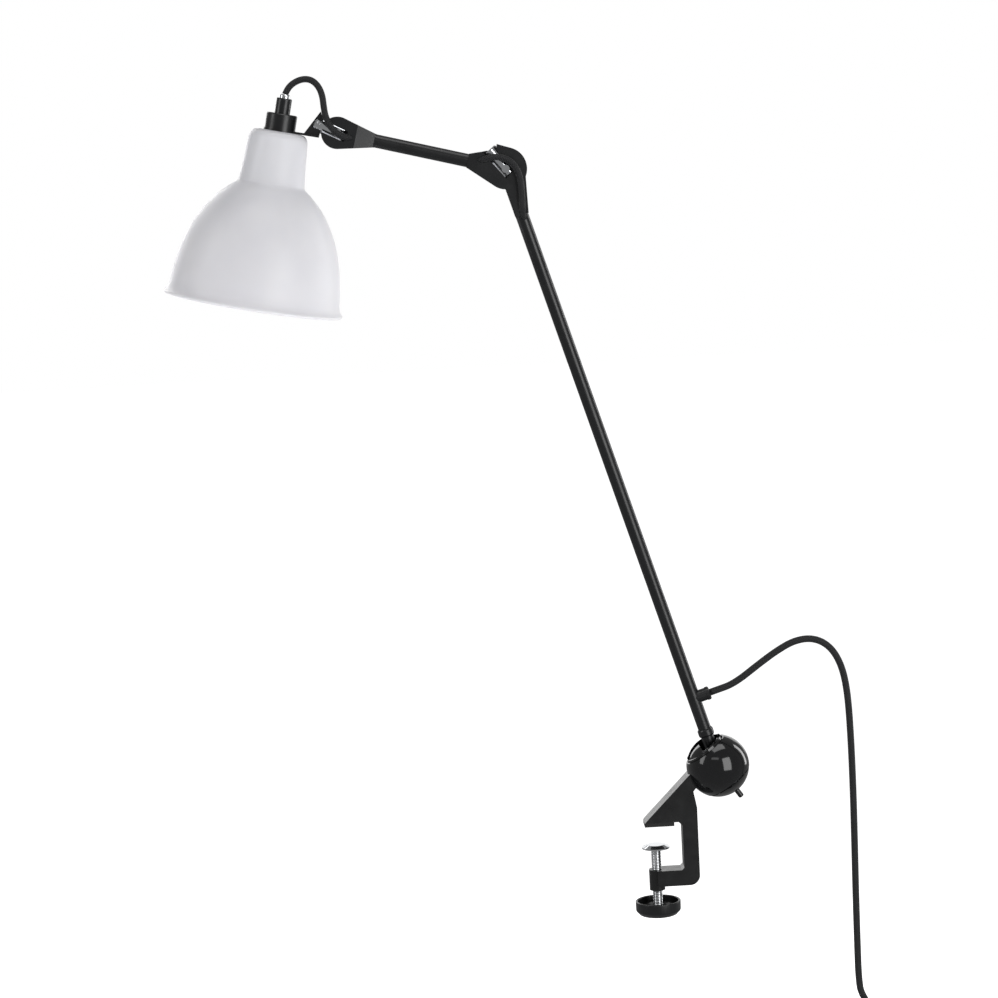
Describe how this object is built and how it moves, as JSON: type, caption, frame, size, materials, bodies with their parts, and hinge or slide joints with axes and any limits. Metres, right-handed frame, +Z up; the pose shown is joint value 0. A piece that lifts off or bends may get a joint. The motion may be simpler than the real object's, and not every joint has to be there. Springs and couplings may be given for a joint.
{
  "type": "swing arm desk lamp",
  "caption": "Clamp-on swing arm desk lamp with a split ball joint, a long and a short arm, hinged elbow and head, and a bell shade.",
  "frame": {"origin": "underside of the clamp's upper jaw, on the middle of the jaw plate", "axes": "+X away from the table, +Y to the back of the lamp, +Z up"},
  "size_m": [0.5625, 0.14, 0.9309],
  "materials": {
    "black_cast": "satin black paint",
    "black_steel": "satin black paint",
    "chrome": "chrome plated",
    "steel": "machined",
    "rubber": "matte",
    "opal_shade": "satin opal",
    "bulb_glass": "satin",
    "nickel_brass": "nickel plated",
    "black_plastic": "satin",
    "ceramic": "glazed",
    "textile_cord": "woven textile cover"
  },
  "bodies": {
    "clamp": {"clamp_frame": "black_cast", "jaw_pad": "rubber"},
    "pad": {"pressure_pad": "chrome"},
    "screw": {"clamp_screw": "chrome", "hand_wheel": "black_cast", "wheel_cap": "black_cast"},
    "turret": {"ball_upper_cap": "black_cast", "ball_lower_cap": "black_cast", "ball_axle": "steel", "ball_spring_washer": "steel", "arm_pivot_pin": "steel", "cord_coil": "textile_cord", "cord_tail": "textile_cord", "plug_relief": "black_plastic", "plug_body": "black_plastic", "plug_pins": "nickel_brass"},
    "long_arm": {"arm_foot": "steel", "long_arm_tube": "black_steel", "arm_collar": "black_steel", "cord_gland": "black_steel", "gland_nut": "black_steel", "long_arm_hook": "black_steel", "elbow_barrel": "chrome", "elbow_screw": "chrome", "elbow_nut": "chrome", "long_arm_lead": "textile_cord", "elbow_lead": "textile_cord", "power_cord": "textile_cord"},
    "short_arm": {"short_arm_elbow_fork": "black_steel", "short_arm_tube": "black_steel", "short_arm_ring": "chrome", "short_arm_head_fork": "black_steel", "short_arm_lead": "textile_cord", "head_lead": "textile_cord"},
    "head": {"head_bracket": "black_steel", "head_barrel": "chrome", "head_screw": "chrome", "head_nut": "chrome", "shade": "opal_shade", "holder_collar": "black_steel", "holder_neck": "black_steel", "cord_grip": "chrome", "socket_nipple": "steel", "socket_shell": "black_plastic", "socket_insulator": "ceramic", "socket_thread": "nickel_brass", "centre_contact": "nickel_brass", "bulb_cap": "nickel_brass", "bulb_glass": "bulb_glass"}
  },
  "joints": [
    {"name": "pad_slide", "type": "slide", "parent": "clamp", "child": "pad", "axis": [0, 0, 1], "range_m": [-0.015, 0.0115]},
    {"name": "screw_turn", "type": "hinge", "parent": "pad", "child": "screw", "pos_m": [-0.0033, 0, -0.0185], "axis": [0, 0, 1], "continuous": true},
    {"name": "ball_turn", "type": "hinge", "parent": "clamp", "child": "turret", "pos_m": [0.049, 0, 0.045], "axis": [-0.5707, 0, 0.8211], "range_deg": [-170, 170]},
    {"name": "arm_tilt", "type": "hinge", "parent": "turret", "child": "long_arm", "pos_m": [0.049, 0, 0.045], "axis": [0, 1, 0], "range_deg": [-47, 11.5], "deforming": ["power_cord"]},
    {"name": "elbow", "type": "hinge", "parent": "long_arm", "child": "short_arm", "pos_m": [-0.09592, 0, 0.525], "axis": [0, 1, 0], "range_deg": [-35, 60], "deforming": ["elbow_lead"]},
    {"name": "head_tilt", "type": "hinge", "parent": "short_arm", "child": "head", "pos_m": [-0.22426, 0, 0.55915], "axis": [0, 1, 0], "range_deg": [-25, 90], "deforming": ["head_lead"]}
  ],
  "couplings": [
    {"joint": "screw_turn", "follows": "pad_slide", "rad_per_m": 5026.5}
  ]
}
